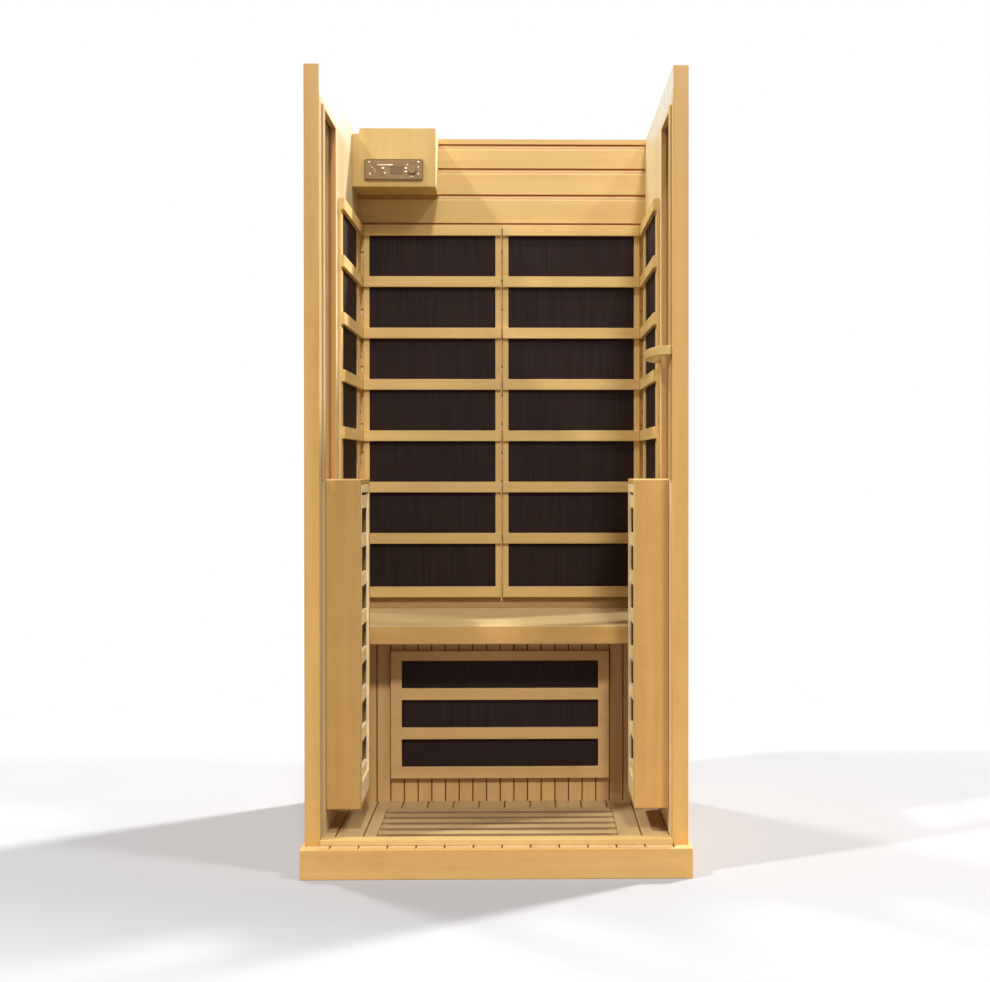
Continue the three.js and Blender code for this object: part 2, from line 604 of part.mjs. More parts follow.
function buildControlBox() {
  const chassisX = about(FACE_X, CHASSIS_SIZE[0]);
  const chassisZ = about(FACE_Z, CHASSIS_SIZE[1]);
  const [left, right] = CONTROL_X;
  const [foot, top] = CONTROL_Z;

  // Front board: a rounded wiring notch in its upper outer corner, and the radio's cut-out
  const front = outline([[left, foot], [right, foot], [right, top], [left + NOTCH_WIDTH, top]]);
  front.quadraticCurveTo(left + NOTCH_WIDTH, top - NOTCH_HEIGHT, left + NOTCH_WIDTH / 2, top - NOTCH_HEIGHT);
  front.lineTo(left, top - NOTCH_HEIGHT);
  front.holes = [outline(rectangle(grow(chassisX, FIT), grow(chassisZ, FIT)))];
  add('control_box_front', carryBack(front, [CONTROL_FRONT, CONTROL_BOARD_BACK], 6), hemlock);

  // Bottom and side board in one
  const caseOutline = outline([
    [left, foot], [right, foot], [right, top], [right - CONTROL_BOARD, top],
    [right - CONTROL_BOARD, foot + CONTROL_BOARD], [left, foot + CONTROL_BOARD],
  ]);
  add('control_box_case', carryBack(caseOutline, [CONTROL_BOARD_BACK + FIT, SEAT_Y]), hemlock);

  const powerModule = block(about(FACE_X, MODULE_WIDTH), [SEAT_Y - MODULE_DEPTH, SEAT_Y], MODULE_Z);
  add('power_module', powerModule, darkPlastic);

  // Cable inlet: a flange on the outside of the back wall, with a neck into it
  const flange = WALL_REAR + FIT;
  const neckEnd = flange - BOARDING_THICKNESS;
  const profile = [
    [CABLE_RADIUS, neckEnd], [INLET_NECK, neckEnd], [INLET_NECK, flange], [INLET_RADIUS, flange],
    [INLET_RADIUS, flange + INLET_PROUD / 2], [INLET_NECK, flange + INLET_PROUD],
    [CABLE_RADIUS, flange + INLET_PROUD], [CABLE_RADIUS, neckEnd],
  ].map(([radius, y]) => new THREE.Vector2(radius, y));
  const inlet = new THREE.LatheGeometry(profile, 24);
  add('cable_inlet', geometryOf(solidOf(inlet.translate(FACE_X, 0, INLET_Z))), darkPlastic);
}

function roundedPlate(x, z, radius) {
  const shape = new THREE.Shape();
  shape.moveTo(x[0] + radius, z[0]);
  shape.lineTo(x[1] - radius, z[0]);
  shape.absarc(x[1] - radius, z[0] + radius, radius, -Math.PI / 2, 0);
  shape.lineTo(x[1], z[1] - radius);
  shape.absarc(x[1] - radius, z[1] - radius, radius, 0, Math.PI / 2);
  shape.lineTo(x[0] + radius, z[1]);
  shape.absarc(x[0] + radius, z[1] - radius, radius, Math.PI / 2, Math.PI);
  shape.lineTo(x[0], z[0] + radius);
  shape.absarc(x[0] + radius, z[0] + radius, radius, Math.PI, 1.5 * Math.PI);
  return shape;
}

function buildRadio() {
  const [faceFront, faceBack] = FACE_Y;
  const place = ([u, v]) => [FACE_X + u, FACE_Z + v];
  const plate = (at, width, height, y) => {
    const [x, z] = place(at);
    return block(about(x, width), y, about(z, height));
  };
  const disc = (at, radius, y, segments) => {
    const [x, z] = place(at);
    return roundBar(radius, x, y, z, segments);
  };
  const buttons = Object.entries(BUTTONS_AT);
  const pocketDepth = BUTTON_FLANGE + BUTTON_TRAVEL + RUNNING;
  const flangeGrow = 2 * BUTTON_FLANGE;

  // Faceplate: screw heads and the dial's ring stand on it; display, slot, shaft and buttons go into it
  const face = roundedPlate(about(FACE_X, FACE_WIDTH), about(FACE_Z, FACE_HEIGHT), FACE_CORNER);
  const blank = carryBack(face, FACE_Y, 4);
  const proud = [faceFront - SCREW_HEAD, faceFront + FACE_THICKNESS / 2];
  const ringOuter = KNOB_RADIUS + RUNNING + KNOB_RING;
  const raised = join([
    blank,
    ...SCREWS_AT.map((at) => disc(at, SCREW_RADIUS, proud, 10)),
    disc(KNOB_AT, ringOuter, proud, 24),
  ]);
  const through = [faceFront - 2 * SCREW_HEAD, faceBack + FIT];
  add('radio_faceplate', cut(raised, [
    disc(KNOB_AT, KNOB_RADIUS + RUNNING, [through[0], faceFront], 24),
    disc(KNOB_AT, SHAFT_RADIUS + RUNNING, through, 16),
    plate(DISPLAY_AT, DISPLAY_WIDTH, DISPLAY_HEIGHT, [through[0], faceFront + DISPLAY_DEPTH]),
    plate(SLOT_AT, SLOT_WIDTH, SLOT_HEIGHT, [through[0], faceFront + SLOT_DEPTH]),
    ...buttons.map(([, at]) => plate(at, BUTTON_WIDTH, BUTTON_HEIGHT, through)),
  ]), bronzeMetal);

  const lensY = [faceFront - FIT, faceFront + DISPLAY_DEPTH - FIT];
  const lens = plate(DISPLAY_AT, DISPLAY_WIDTH - 2 * FIT, DISPLAY_HEIGHT - 2 * FIT, lensY);
  add('radio_display', lens, darkPlastic);

  // Chassis behind the faceplate, with sockets for the shaft and the buttons' flanges
  const chassisFront = CONTROL_FRONT;
  const chassisY = [chassisFront, SEAT_Y - MODULE_DEPTH - CHASSIS_AIR];
  const socketY = [chassisFront - FIT, chassisFront + SHAFT_SOCKET];
  const pocketY = [chassisFront - FIT, chassisFront + pocketDepth];
  const pocketWidth = BUTTON_WIDTH + flangeGrow + RUNNING;
  const pocketHeight = BUTTON_HEIGHT + flangeGrow + RUNNING;
  add('radio_chassis', cut(plate([0, 0], ...CHASSIS_SIZE, chassisY), [
    disc(KNOB_AT, SHAFT_RADIUS + RUNNING, socketY, 16),
    ...buttons.map(([, at]) => plate(at, pocketWidth, pocketHeight, pocketY)),
  ]), steel);

  const knobY = [faceFront - RUNNING - KNOB_LENGTH, faceFront - RUNNING];
  const shaftY = [faceFront - RUNNING - KNOB_LENGTH / 2, chassisFront + SHAFT_SOCKET - RUNNING];
  const pointer = plate([KNOB_AT[0], KNOB_AT[1] + KNOB_RADIUS * 0.6], SCREW_HEAD, KNOB_RADIUS / 2,
    [knobY[0] - SCREW_HEAD / 2, knobY[0] + SCREW_HEAD]);
  add('radio_volume_knob', join([
    disc(KNOB_AT, KNOB_RADIUS, knobY, 24),
    disc(KNOB_AT, SHAFT_RADIUS, shaftY, 16),
    pointer,
  ]), bronzeMetal);

  for (const [name, at] of buttons) {
    const flangeY = [chassisFront, chassisFront + BUTTON_FLANGE];
    const stemY = [faceFront - BUTTON_PROUD, chassisFront + BUTTON_FLANGE / 2];
    add(`radio_button_${name}`, join([
      plate(at, BUTTON_WIDTH - 2 * FIT, BUTTON_HEIGHT - 2 * FIT, stemY),
      plate(at, BUTTON_WIDTH + flangeGrow - FIT, BUTTON_HEIGHT + flangeGrow - FIT, flangeY),
    ]), steel);
  }
}

// Bow handle: two half ellipses about one centre, flat where its feet meet the wall and relieved over the window stop
function buildHandle() {
  const half = BOW_CHORD / 2;
  const centreY = WALL_FRONT + BOW_FRONT + half;
  const quarter = Math.PI / 2;
  const shape = new THREE.Shape();
  shape.absellipse(SEAT_X, centreY, BOW_RISE, half, quarter, 3 * quarter);
  shape.absellipse(SEAT_X, centreY, BOW_RISE - BOW_BAR, half - BOW_BAR, 3 * quarter, quarter, true);
  const z = about(FLOOR_LEVEL + BOW_ABOVE_FLOOR, BOW_HEIGHT);
  const stopX = [SEAT_X - STOP_THICKNESS - FIT, SEAT_X + STOP_THICKNESS];
  const stopY = [WINDOW_Y[0] - STOP_WIDTH - FIT, WINDOW_Y[0] + FIT];
  add('grab_handle', cut(raise(shape, z, 24), [block(stopX, stopY, [0, CABIN_HEIGHT])]), hemlock);
}

buildBase();
buildFloorHeater();
buildSillRail();
buildBackWall();
buildBench();
buildCalfHeater();
for (const [name, side] of [['left', -1], ['right', 1]]) {
  buildSideWall(name, side);
  buildBackHeater(name, side);
  buildSideHeater(name, side);
  buildFrontHeater(name, side);
}
buildControlBox();
buildRadio();
buildHandle();

export default cabin;
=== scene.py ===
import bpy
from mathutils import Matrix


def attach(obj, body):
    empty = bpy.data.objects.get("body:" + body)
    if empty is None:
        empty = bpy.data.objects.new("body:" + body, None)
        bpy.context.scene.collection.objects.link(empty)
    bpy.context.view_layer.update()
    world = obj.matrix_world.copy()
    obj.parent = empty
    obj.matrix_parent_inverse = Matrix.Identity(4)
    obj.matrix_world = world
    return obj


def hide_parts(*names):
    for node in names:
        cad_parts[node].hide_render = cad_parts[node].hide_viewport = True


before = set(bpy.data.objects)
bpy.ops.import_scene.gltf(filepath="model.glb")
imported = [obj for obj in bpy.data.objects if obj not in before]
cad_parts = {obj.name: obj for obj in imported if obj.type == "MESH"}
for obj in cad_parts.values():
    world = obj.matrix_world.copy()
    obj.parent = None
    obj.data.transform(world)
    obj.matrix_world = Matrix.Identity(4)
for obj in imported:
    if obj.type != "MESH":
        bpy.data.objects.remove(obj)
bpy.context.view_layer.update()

import math

import bpy

# Camera at half the cabin's height, nearly square to the open front and a little to its right.
# It is all but level, so the posts stay upright, and a small shift of the lens frames the view.
lens = bpy.data.cameras.new("front_lens")
lens.sensor_width = 36
lens.lens = 56.254
lens.shift_x = -0.0591
lens.shift_y = -0.0152
camera = bpy.data.objects.new("front_camera", lens)
camera.location = (0.06467, -3.98183, 0.94867)
camera.rotation_euler = (math.pi / 2 - 0.0074, 0.0003, -0.01856)
bpy.context.collection.objects.link(camera)
bpy.context.scene.camera = camera

# Soft studio light: a white surround that lights the wood only dimly, and five broad lamps high
# up and far off, one towards each corner of the cabin and one before its entrance.
# The strongest stands behind on the right.
LAMP_DISTANCE = 6
SURROUND_SEEN = 1.0
SURROUND_LIGHT = 0.30
bpy.context.scene.view_settings.view_transform = "Standard"
world = bpy.data.worlds.new("white_surround")
world.use_nodes = True
surround = world.node_tree.nodes["Background"]
surround.inputs["Color"].default_value = (1, 1, 1, 1)
scattered = world.node_tree.nodes.new("ShaderNodeLightPath").outputs["Is Diffuse Ray"]
brightness = world.node_tree.nodes.new("ShaderNodeMapRange")
brightness.inputs["To Min"].default_value = SURROUND_SEEN
brightness.inputs["To Max"].default_value = SURROUND_LIGHT
world.node_tree.links.new(scattered, brightness.inputs["Value"])
world.node_tree.links.new(brightness.outputs["Result"], surround.inputs["Strength"])
bpy.context.scene.world = world
for name, east, north, up, power, breadth in (
    ("entrance_lamp", 0.100, -0.720, 0.687, 1.88, 0.10),
    ("left_front_lamp", -0.565, -0.285, 0.774, 2.5, 0.06),
    ("right_front_lamp", 0.580, -0.270, 0.769, 1.6, 0.15),
    ("right_rear_lamp", 0.620, 0.452, 0.643, 6.2, 0.10),
    ("left_rear_lamp", -0.392, 0.419, 0.819, 1.9, 0.10),
):
    lamp = bpy.data.lights.new(name, "SUN")
    lamp.energy = power
    lamp.angle = breadth
    stand = bpy.data.objects.new(name, lamp)
    stand.location = [LAMP_DISTANCE * part for part in (east, north, up)]
    stand.rotation_euler = (math.acos(up), 0, math.atan2(north, east) + math.pi / 2)
    bpy.context.collection.objects.link(stand)


# Pale studio floor: one broad sheet of matt white with the faintest unevenness,
# which fades out into the white surround a few steps from the cabin.
FLOOR_WHITES = ((0.288, 0.284, 0.288), (0.300, 0.296, 0.300))
FLOOR_SPAN = 9
FADE = (1.5, 3.0)


class Value:
    """A socket of a finish, with arithmetic that adds Math nodes."""

    def __init__(self, tree, socket):
        self.tree = tree
        self.socket = socket

    def node(self, kind, settings, sockets, output=0):
        """Add a node, set it up, feed its sockets, and give one of its outputs."""
        made = self.tree.nodes.new(kind)
        for name, value in settings.items():
            if name == "stops":
                stops = made.color_ramp.elements
                for position, _ in value[1:-1]:
                    stops.new(position)
                for stop, (position, colour) in zip(stops, value):
                    stop.position = position
                    stop.color = (*colour, 1)
            else:
                setattr(made, name, value)
        for name, value in sockets.items():
            self.feed(made.inputs[name], value)
        return Value(self.tree, made.outputs[output])

    def feed(self, socket, value):
        if isinstance(value, Value):
            self.tree.links.new(value.socket, socket)
        else:
            socket.default_value = value

    def math(self, operation, *terms):
        return self.node("ShaderNodeMath", {"operation": operation}, dict(enumerate(terms)))

    def __add__(self, other):
        return self.math("ADD", self, other)

    def __sub__(self, other):
        return self.math("SUBTRACT", self, other)

    def __mul__(self, other):
        return self.math("MULTIPLY", self, other)

    def __truediv__(self, other):
        return self.math("DIVIDE", self, other)

    def __radd__(self, other):
        return self.math("ADD", other, self)

    def __rsub__(self, other):
        return self.math("SUBTRACT", other, self)

    def __rmul__(self, other):
        return self.math("MULTIPLY", other, self)

    def __rtruediv__(self, other):
        return self.math("DIVIDE", other, self)

    def __abs__(self):
        return self.math("ABSOLUTE", self)

    def axis(self, name):
        return self.node("ShaderNodeSeparateXYZ", {}, {"Vector": self}, name)

    def vector(self, operation, *terms, output=0):
        return self.node(
            "ShaderNodeVectorMath", {"operation": operation}, dict(enumerate(terms)), output
        )

    def rise(self, low, high):
        """From 0 below low to 1 above high, smoothly."""
        limits = {"Value": self, "From Min": low, "From Max": high}
        return self.node("ShaderNodeMapRange", {"interpolation_type": "SMOOTHSTEP"}, limits)

    def stretched(self, scale, shift=(0, 0, 0)):
        placing = {"Vector": self, "Location": shift, "Scale": scale}
        return self.node("ShaderNodeMapping", {}, placing)

    def noise(self, scale, detail):
        spots = {"Vector": self, "Scale": scale, "Detail": detail}
        return self.node("ShaderNodeTexNoise", {}, spots)

    def ramp(self, *stops):
        return self.node("ShaderNodeValToRGB", {"stops": stops}, {"Fac": self})

    def mixed(self, low, high):
        """From one colour at 0 to another at 1."""
        low, high = (
            colour if isinstance(colour, Value) else (*colour, 1) for colour in (low, high)
        )
        return self.node("ShaderNodeMix", {"data_type": "RGBA"}, {0: self, 6: low, 7: high}, 2)


def new_finish(name, roughness, metallic=0.0, gloss=0.5):
    """A new finish, its shader, and the place on the surface that its pattern reads."""
    finish = bpy.data.materials.new(name)
    finish.use_nodes = True
    tree = finish.node_tree
    shader = tree.nodes["Principled BSDF"]
    shader.inputs["Roughness"].default_value = roughness
    shader.inputs["Metallic"].default_value = metallic
    shader.inputs["Specular IOR Level"].default_value = gloss
    place = Value(tree, tree.nodes.new("ShaderNodeTexCoord").outputs["Object"])
    return finish, shader, place


floor_white, shader, place = new_finish("studio_white", roughness=0.7, gloss=0.1)
speckle = place.noise(3.0, 2.0)
place.feed(shader.inputs["Base Color"], speckle.mixed(*FLOOR_WHITES))
oval = place.stretched((1, 1.5, 1), shift=(0, -0.6, 0))
away = oval.vector("LENGTH", oval, output="Value")
place.feed(shader.inputs["Alpha"], 1 - away.rise(*FADE))
bpy.ops.object.select_all(action="DESELECT")
bpy.ops.mesh.primitive_plane_add(size=FLOOR_SPAN, location=(0, 0, 0))
studio_floor = bpy.context.object
studio_floor.name = "studio_floor"
studio_floor.data.materials.append(floor_white)


# Base: planed hemlock fascias on edge round a frame of sawn bearers, screwed at the corners.
# The boards keep their sharp mill edges, only just eased with a plane.
HONEY = ((0.478, 0.260, 0.078), (0.535, 0.304, 0.096), (0.578, 0.340, 0.113))
GROOVE_BROWN = (0.170, 0.050, 0.020)
# How the pattern is drawn out along the fibres, how far apart in the log two boards may lie,
# and the scale and detail of the marks in the wood.
GRAIN_DRAW = 0.05
LOG_SHIFT = 9.0
STREAKS = (38.0, 4.0)
PORES = (420.0, 3.0)
BLOTCHES = (14.0, 3.0)
FLECKS = (95.0, 1.0)
FLECK_DRAW = 3.2
FLECK_LIMITS = (0.735, 0.79)
TONE_STOPS = (0.34, 0.52, 0.72)


def bumped(shader, height, strength, distance):
    """Raise a finish by height, as much as strength says and distance at most."""
    relief = {"Height": height, "Strength": strength, "Distance": distance}
    height.feed(shader.inputs["Normal"], height.node("ShaderNodeBump", {}, relief))


def hemlock(
    name, run, tone, stack=None, pitch=1.0, start=0.0, groove=0.0, marks_and_painted_light=None,
    roughness=0.46, relief=0.12,
):
    """Hemlock with its grain along run, in boards of one pitch across stack, dark in the joints."""
    finish, shader, place = new_finish(name, roughness, gloss=0.3)
    log = place
    if stack:
        step = (place.axis(stack) - start) / pitch
        board = step.math("FLOOR", step)
        chance = board.node("ShaderNodeTexWhiteNoise", {"noise_dimensions": "1D"}, {"W": board})
        log = place.vector("ADD", place, chance * LOG_SHIFT)
    along = [GRAIN_DRAW if axis == run else 1.0 for axis in "XYZ"]
    fibre = log.stretched(along)
    streaks = fibre.noise(*STREAKS)
    pores = fibre.noise(*PORES)
    blotches = log.noise(*BLOTCHES)
    shade = streaks * 0.6 + pores * 0.2 + blotches * 0.25
    colour = shade.ramp(*zip(TONE_STOPS, tone))
    flecks = log.stretched([FLECK_DRAW * part for part in along]).noise(*FLECKS)
    colour = (flecks.rise(*FLECK_LIMITS) * 0.3).mixed(colour, [0.55 * part for part in tone[0]])
    if stack:
        colour = colour.vector("MULTIPLY", colour, chance * 0.1 + 0.95)
    if groove:
        near = step.math("PINGPONG", step, 0.5) * pitch
        colour = (1 - near.rise(groove * 0.6, groove)).mixed(colour, GROOVE_BROWN)
    # Extra marks, which also paint light and shade into the colour.
    if marks_and_painted_light:
        colour = marks_and_painted_light(place, colour)
    place.feed(shader.inputs["Base Color"], colour)
    place.feed(shader.inputs["Roughness"], shade * 0.16 + (roughness - 0.08))
    bumped(shader, pores * 0.6 + streaks * 0.4, strength=relief, distance=0.0006)
    return finish


def own_copy(name, mesh):
    """A new piece with its own copy of a mesh, selected alone."""
    piece = bpy.data.objects.new(name, mesh.copy())
    bpy.context.collection.objects.link(piece)
    bpy.ops.object.select_all(action="DESELECT")
    piece.select_set(True)
    bpy.context.view_layer.objects.active = piece
    return piece


def eased(node, slot, *finishes, ease=0.001, which=None, body="cabin"):
    """Put a copy with eased edges in a solid's place; which picks a finish by a face's middle."""
    planed = own_copy(f"{node}_planed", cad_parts[node].data)
    planed.data.materials.clear()
    for finish in finishes:
        planed.data.materials.append(finish)
    bpy.ops.mesh.customdata_custom_splitnormals_clear()
    bpy.ops.object.mode_set(mode="EDIT")
    bpy.ops.mesh.select_all(action="SELECT")
    bpy.ops.mesh.remove_doubles(threshold=1e-6)
    bpy.ops.mesh.dissolve_limited(angle_limit=math.radians(1))
    bpy.ops.object.mode_set(mode="OBJECT")
    edge = planed.modifiers.new("eased_edges", "BEVEL")
    edge.width = ease
    edge.segments = 2
    edge.limit_method = "ANGLE"
    edge.angle_limit = math.radians(25)
    bpy.ops.object.modifier_apply(modifier=edge.name)
    bpy.ops.object.shade_smooth_by_angle(angle=math.radians(20))
    for face in planed.data.polygons:
        face.material_index = which(face.center) if which else 0
    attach(planed, body)
    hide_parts(node)


def dress(node, finish):
    """Give a solid that is shown as it is its finish."""
    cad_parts[node].material_slots[0].material = finish


along_x = hemlock("hemlock_across", "X", HONEY)
along_y = hemlock("hemlock_front_to_back", "Y", HONEY)
for node, finish in (
    ("base_front_fascia", along_x),
    ("base_rear_fascia", along_x),
    ("base_left_fascia", along_y),
    ("base_right_fascia", along_y),
):
    eased(node, "hemlock", finish, ease=0.0015)
sawn = hemlock("sawn_bearers", "Y", HONEY, roughness=0.7)
dress("base_bearer_frame", sawn)

# Floor: tongued boards nailed to the bearers, with a V groove at each joint, and a loose grille
# of slats. A thin dark heater panel lies in the well under the slats.
WORN = ((0.465, 0.305, 0.140), (0.520, 0.352, 0.164), (0.560, 0.388, 0.184))
SLAT_TONE = ((0.424, 0.278, 0.127), (0.474, 0.321, 0.149), (0.511, 0.354, 0.168))
SLAT_SHOULDER = (0.0660, 0.0682)
SLAT_SIDE_SHADE = 0.5
FILM_DARK = (0.0105, 0.0047, 0.0040)
FILM_LIGHT = (0.0300, 0.0160, 0.0135)


def slat_painted_shade(place, colour):
    """Painted shade, browner down the sides of the slats."""
    below = 1 - place.axis("Z").rise(*SLAT_SHOULDER)
    return (below * SLAT_SIDE_SHADE).mixed(colour, GROOVE_BROWN)


floor_boarding = hemlock(
    "floor_boarding", "Y", WORN, stack="X", pitch=0.066, start=0.012, groove=0.0019
)
dress("floor_boards", floor_boarding)
slat_finish = hemlock(
    "floor_slats", "X", SLAT_TONE, stack="Y", pitch=0.0605, start=-0.0367,
    marks_and_painted_light=slat_painted_shade, relief=0.03,
)
eased("floor_slat_grille", "hemlock", slat_finish, body="floor_grille")
heater_film, shader, place = new_finish("heater_film", roughness=0.6, gloss=0.15)
threads = place.stretched((1, 1, 0.006)).noise(900.0, 2.0)
bands = place.stretched((0.1, 0.1, 1)).noise(160.0, 2.0)
weave = threads * 0.88 + bands * 0.12
place.feed(shader.inputs["Base Color"], weave.ramp((0.38, FILM_DARK), (0.66, FILM_LIGHT)))
place.feed(shader.inputs["Roughness"], weave * 0.3 + 0.5)
bumped(shader, threads, strength=0.25, distance=0.0003)
dress("floor_heater_panel", heater_film)

# Front sill rail: a square batten screwed to the floor between the two posts.
# It stiffens the open front and keeps the floor boards' ends down.
SILL_TONE = ((0.530, 0.340, 0.120), (0.585, 0.390, 0.146), (0.625, 0.430, 0.170))
eased("front_sill_rail", "hemlock", hemlock("sill_hemlock", "X", SILL_TONE))

# Back wall: horizontal boards bevelled on their upper edges inside, a plain core,
# and upright boards outside, all nailed together as one panel.
PALE = ((0.615, 0.393, 0.140), (0.675, 0.450, 0.170), (0.720, 0.495, 0.198))
JOINT_TAN = (0.480, 0.150, 0.022)
BEVEL_SHADE_TAN = (0.300, 0.140, 0.030)
BEHIND_SEAT = (0.560, 0.580)
HEATER_TOPS = (1.600, 1.610)
LINING_TOP = (1.864, 1.866)
BEVEL_START = (0.4100, 0.4104)
BEVEL_END = (0.4117, 0.4122)
JOINT_BOTTOM = (0.4128, 0.4133)
BEVEL_PAINTED_SHADE = 0.6
SEAT_PAINTED_SHADOW = 0.5


def lining_joints_and_shade(place, colour):
    """Painted shade down the bevels, brown in the joints above the heaters, and a painted shadow
    behind the seat.
    """
    depth = place.axis("Y")
    height = place.axis("Z")
    above = height.rise(*HEATER_TOPS) * (1 - height.rise(*LINING_TOP))
    bevel = depth.rise(*BEVEL_START) * (1 - depth.rise(*BEVEL_END))
    colour = (bevel * above * BEVEL_PAINTED_SHADE).mixed(colour, BEVEL_SHADE_TAN)
    colour = (depth.rise(*JOINT_BOTTOM) * above).mixed(colour, JOINT_TAN)
    return ((1 - height.rise(*BEHIND_SEAT)) * SEAT_PAINTED_SHADOW).mixed(colour, GROOVE_BROWN)


back_lining = hemlock(
    "back_lining_boards", "X", PALE, stack="Z", pitch=0.081, start=0.0115, marks_and_painted_light=lining_joints_and_shade
)
dress("back_inner_lining", back_lining)
dress("back_wall_core", sawn)
back_boarding = hemlock("back_boarding", "Z", HONEY, stack="X", pitch=0.085, groove=0.0015)
dress("back_outer_cladding", back_boarding)

# Side walls: a post at the front edge, then upright boards on both faces of a core that holds
# the window. The glass sits in a groove, with a thin wooden stop along its front edge inside.
# A paler tone for faces that look sideways across the cabin: painted light for the side lamps that
# fall on the linings, grilles and the control box's side.
SIDE_LIT_PALE = ((0.740, 0.565, 0.310), (0.780, 0.610, 0.345), (0.815, 0.650, 0.385))
# A darker, redder tone for the window's reveal: painted shade in the recess of the window.
REVEAL_IN_SHADE = ((0.420, 0.195, 0.050), (0.475, 0.235, 0.064), (0.515, 0.262, 0.078))
TOP_HIGHLIGHT = (0.800, 0.740, 0.600)
# Paler copies of the front's tone for the posts, the right one lighter still: painted light for the
# stronger light that falls on the right post.
LEFT_POST = ((0.559, 0.304, 0.085), (0.626, 0.356, 0.104), (0.676, 0.398, 0.123))
RIGHT_POST = ((0.602, 0.328, 0.091), (0.674, 0.383, 0.113), (0.728, 0.428, 0.132))
POST_HEIGHT = (0.07, 1.87)
POST_PAINTED_SHADE = 0.25
TOP_HIGHLIGHT_HEIGHT = (1.78, 1.83)
TOP_HIGHLIGHT_DEPTH = (-0.2, 0.4)
SPARED_BEHIND = 0.75
MIDDLE = (-0.1, 0.1)
LEFT_PAINTED_SHADE = 0.28
POST_INSIDE = 0.4081
WINDOW_CUT = (0.4082, 0.4086)
SIDE_PITCH = 0.085
SIDE_START = -0.3642


def post_painted_shade(place, colour):
    """Painted shade, darker up the post towards its top."""
    return (place.axis("Z").rise(*POST_HEIGHT) * POST_PAINTED_SHADE).mixed(colour, (0, 0, 0))


def top_painted_highlight(place, colour):
    """Painted highlight along the top, most of all at the front."""
    back = place.axis("Y").rise(*TOP_HIGHLIGHT_DEPTH)
    top = place.axis("Z").rise(*TOP_HIGHLIGHT_HEIGHT) * (1 - back * SPARED_BEHIND)
    return top.mixed(colour, TOP_HIGHLIGHT)


def side_painted_light(place, colour):
    """Painted shade on the left wall, a painted highlight along the top, and painted shade where
    the boards are cut for the window.
    """
    across = place.axis("X")
    left = LEFT_PAINTED_SHADE - across.rise(*MIDDLE) * LEFT_PAINTED_SHADE
    colour = top_painted_highlight(place, left.mixed(colour, (0, 0, 0)))
    return abs(across).rise(*WINDOW_CUT).mixed(colour, REVEAL_IN_SHADE[1])


pane, shader, place = new_finish("window_pane", roughness=0.03)
smear = place.noise(9.0, 3.0)
place.feed(shader.inputs["Base Color"], smear.mixed((0.22, 0.24, 0.21), (0.28, 0.30, 0.27)))
place.feed(shader.inputs["Roughness"], smear * 0.06 + 0.01)
shader.inputs["Alpha"].default_value = 0.07
inner_boards = hemlock(
    "side_lining", "Z", SIDE_LIT_PALE, stack="Y", pitch=SIDE_PITCH, start=SIDE_START, groove=0.0013,
    marks_and_painted_light=side_painted_light, roughness=0.42,
)
outer_boards = hemlock(
    "side_boarding", "Z", HONEY, stack="Y", pitch=SIDE_PITCH, start=SIDE_START, groove=0.0015
)
reveal = hemlock("window_reveal", "Z", REVEAL_IN_SHADE)
# The posts' inner faces and window stops are darker on the left and paler on the right: painted
# shade and painted light for how the light falls on each side.
for side, post_tone, return_tone in (
    ("left", LEFT_POST, SLAT_TONE),
    ("right", RIGHT_POST, PALE),
):
    post_face = hemlock(f"{side}_post_hemlock", "Z", post_tone, marks_and_painted_light=post_painted_shade)
    post_return = hemlock(f"{side}_post_return", "Z", return_tone, marks_and_painted_light=top_painted_highlight)
    eased(
        f"{side}_front_post", "hemlock", post_face, post_return, ease=0.0008,
        which=lambda middle: int(abs(middle.x) < POST_INSIDE),
    )
    dress(f"{side}_inner_lining", inner_boards)
    dress(f"{side}_outer_cladding", outer_boards)
    dress(f"{side}_wall_core", reveal)
    dress(f"{side}_window_glass", pane)
    eased(f"{side}_window_stop", "hemlock", post_return, ease=0.0008)

# Bench: a thick seat board with a lip under its front edge, carried by wall cleats.
# Narrow upright boards close it in below, set well back for the legs.
# The seat's top takes a much paler tone than its front lip: painted light and painted reflection on
# the seat.
LIT_SEAT_TONE = ((0.690, 0.490, 0.235), (0.740, 0.540, 0.270), (0.780, 0.580, 0.300))
SKIRT_TONE = ((0.560, 0.330, 0.128), (0.620, 0.376, 0.152), (0.660, 0.412, 0.172))
BENCH_FRONT = -0.0765
seat_finish = hemlock(
    "bench_seat", "X", LIT_SEAT_TONE, stack="Y", pitch=0.17, start=-0.13, roughness=0.30, relief=0.03
)
eased(
    "bench_top", "hemlock", seat_finish, along_x, ease=0.003,
    which=lambda middle: int(middle.y < BENCH_FRONT),
)
skirting = hemlock("bench_skirting", "Z", SKIRT_TONE, stack="X", pitch=0.0357, groove=0.0016)
dress("bench_skirt", skirting)
for end in ("left", "right", "back"):
    dress(f"bench_cleat_{end}", sawn)

# Calf heater: a flat frame of rails let into two stiles over a dark panel, screwed to the skirt.
# It warms the legs from under the bench.
CALF_STILE = 0.2555
calf_bars = hemlock("calf_heater_bars", "X", SKIRT_TONE)
calf_stiles = hemlock("calf_heater_stiles", "Z", SKIRT_TONE)
eased(
    "calf_heater_frame", "hemlock", calf_bars, calf_stiles,
    which=lambda middle: int(abs(middle.x) > CALF_STILE),
)
dress("calf_heater_panel", heater_film)

